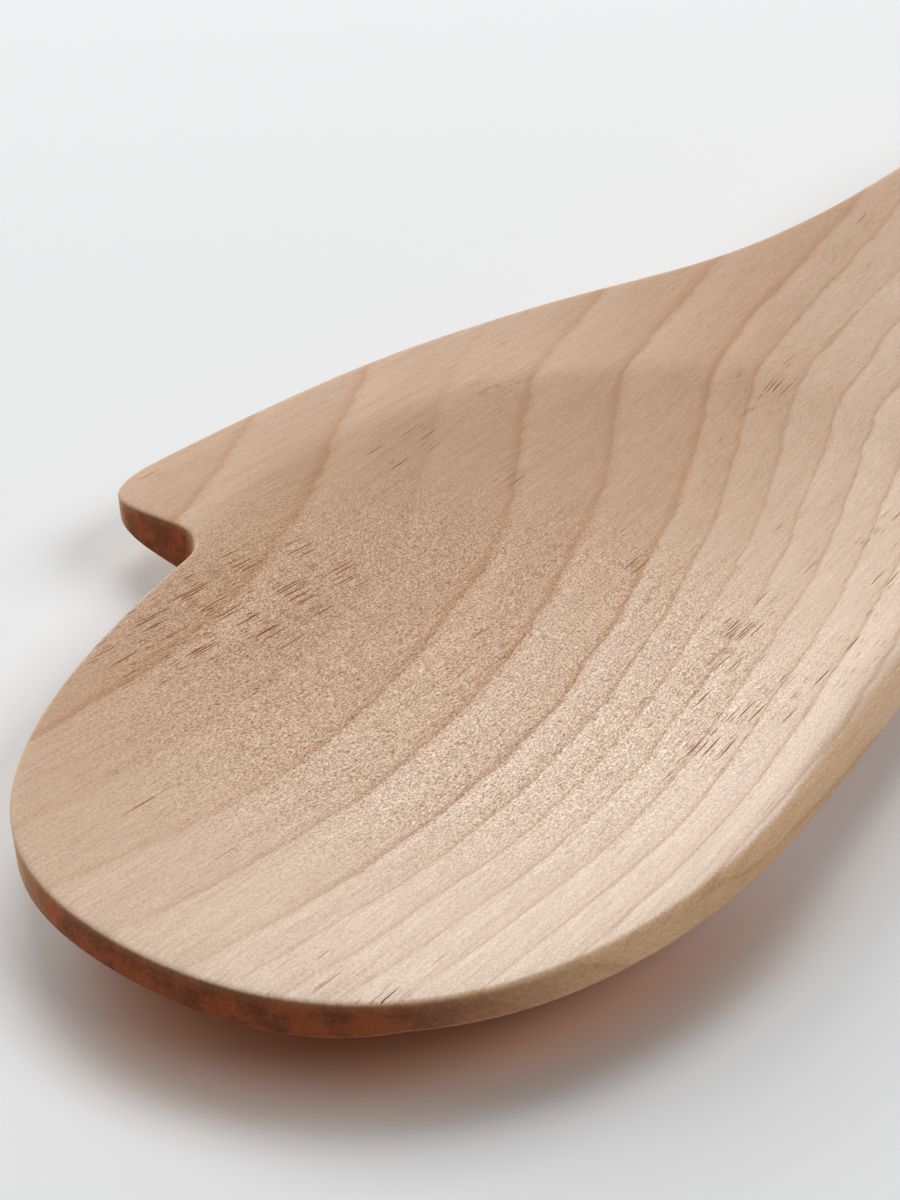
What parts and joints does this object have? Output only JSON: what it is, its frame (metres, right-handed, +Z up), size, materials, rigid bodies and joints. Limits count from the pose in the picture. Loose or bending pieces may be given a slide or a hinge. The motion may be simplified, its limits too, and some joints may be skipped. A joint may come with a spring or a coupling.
{
  "type": "wooden spoon",
  "caption": "Wooden cooking spoon with a shallow dish, a thin rim and a hook notch in one side of the head that rests on a pot's rim.",
  "frame": {"origin": "centre of the spoon's box at table height, with the spoon lying dish up", "axes": "+X from the tip to the end of the handle, +Y to the notched side, +Z up"},
  "size_m": [0.3, 0.072, 0.0224],
  "materials": {
    "wood": "fine sanded, lightly oiled, satin matt"
  },
  "bodies": {
    "root": {"spoon": "wood"}
  },
  "joints": []
}
